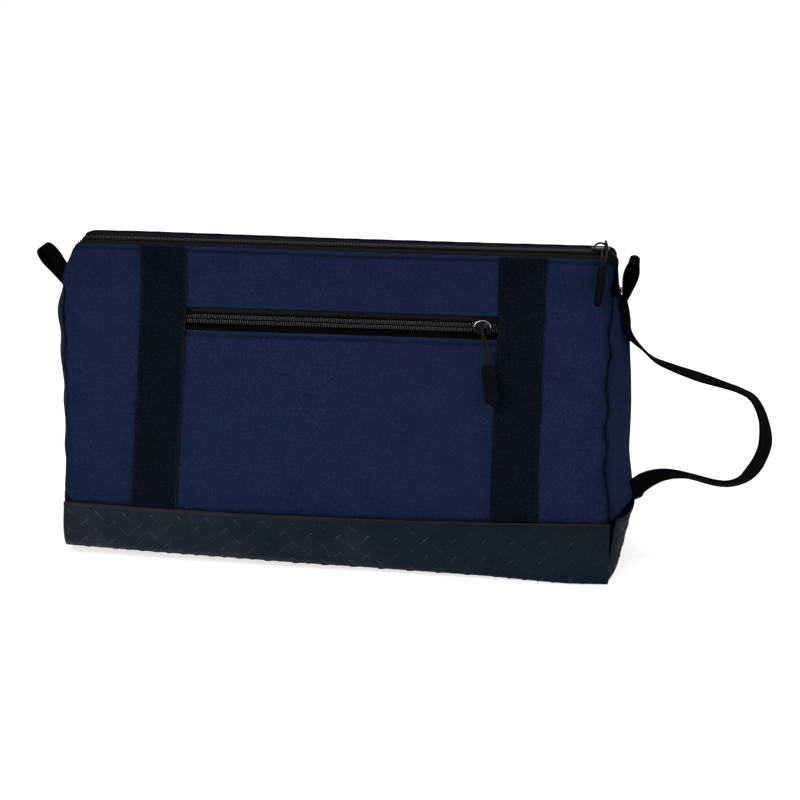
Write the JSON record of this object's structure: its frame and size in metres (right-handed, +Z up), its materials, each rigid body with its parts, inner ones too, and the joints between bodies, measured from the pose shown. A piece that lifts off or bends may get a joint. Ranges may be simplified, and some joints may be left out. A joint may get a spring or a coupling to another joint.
{
  "type": "golf shoe bag",
  "caption": "Soft wedge-shaped shoe bag of canvas with a zip along its ridge, a zipped front pocket, webbing straps and tabs, a carry handle at one end and an embossed wipe-clean base.",
  "frame": {"origin": "middle of the underside of the base", "axes": "+X along the bag towards the carry handle, -Y out of the pocket side, +Z up"},
  "size_m": [0.4678, 0.1464, 0.208],
  "materials": {
    "navy_canvas": "matte plain-weave canvas",
    "embossed_base": "satin embossed imitation leather",
    "black_webbing": "matte ribbed webbing",
    "zip_tape": "matte woven tape",
    "zip_coil": "satin nylon coil",
    "slider_metal": "glossy black",
    "pull_cord": "braided cord",
    "pull_grip": "satin moulded rubber",
    "inner_cloth": "thin matte cloth",
    "base_board": "plain sheet"
  },
  "bodies": {
    "bag": {"back_panel": "navy_canvas", "base_board": "base_board", "base_end_left": "embossed_base", "base_end_right": "embossed_base", "base_wrap": "embossed_base", "end_gusset_left": "navy_canvas", "end_gusset_right": "navy_canvas", "front_left_panel": "navy_canvas", "front_right_panel": "navy_canvas", "front_strap_left": "black_webbing", "front_strap_right": "black_webbing", "front_upper_panel": "navy_canvas", "handle_bottom_end": "black_webbing", "handle_top_end": "black_webbing", "main_zip_coil_back": "zip_coil", "main_zip_coil_front": "zip_coil", "main_zip_stop_left": "slider_metal", "main_zip_stop_right": "slider_metal", "main_zip_tape_back": "zip_tape", "main_zip_tape_front": "zip_tape", "pocket_backing": "inner_cloth", "pocket_front_panel": "navy_canvas", "pocket_zip_coil_lower": "zip_coil", "pocket_zip_coil_upper": "zip_coil", "pocket_zip_stop_left": "slider_metal", "pocket_zip_stop_right": "slider_metal", "pocket_zip_tape_lower": "zip_tape", "pocket_zip_tape_upper": "zip_tape"},
    "main_slider": {"main_slider": "slider_metal", "main_pull_cord": "pull_cord"},
    "main_pull": {"main_pull_grip": "pull_grip"},
    "pocket_slider": {"pocket_slider": "slider_metal"},
    "pocket_pull": {"pocket_pull_cord": "pull_cord", "pocket_pull_grip": "pull_grip"},
    "handle": {"handle_bow": "black_webbing"},
    "tab_left": {"tab_left": "black_webbing"},
    "tab_right": {"tab_right": "black_webbing"}
  },
  "joints": [
    {"name": "main_slide", "type": "slide", "parent": "bag", "child": "main_slider", "axis": [1, 0, 0], "range_m": [-0.322, 0]},
    {"name": "main_pull_swing", "type": "hinge", "parent": "main_slider", "child": "main_pull", "pos_m": [0.1625, -0.0201, 0.1975], "axis": [-1, 0, 0], "range_deg": [0, 110]},
    {"name": "pocket_slide", "type": "slide", "parent": "bag", "child": "pocket_slider", "axis": [1, 0, 0], "range_m": [-0.181, 0]},
    {"name": "pocket_pull_swing", "type": "hinge", "parent": "pocket_slider", "child": "pocket_pull", "pos_m": [0.0905, -0.02526, 0.15229], "axis": [-1, 0, 0], "range_deg": [0, 130]},
    {"name": "handle_swing", "type": "hinge", "parent": "bag", "child": "handle", "pos_m": [0.193, 0, 0.0935], "axis": [0, 0, 1], "range_deg": [-35, 35]},
    {"name": "tab_left_flex", "type": "hinge", "parent": "bag", "child": "tab_left", "pos_m": [-0.17892, 0, 0.1713], "axis": [0, -1, 0], "range_deg": [-8, 30], "stiffness_Nm_per_rad": 0.01},
    {"name": "tab_right_flex", "type": "hinge", "parent": "bag", "child": "tab_right", "pos_m": [0.17928, 0, 0.1713], "axis": [0, 1, 0], "range_deg": [-8, 40], "stiffness_Nm_per_rad": 0.01}
  ]
}
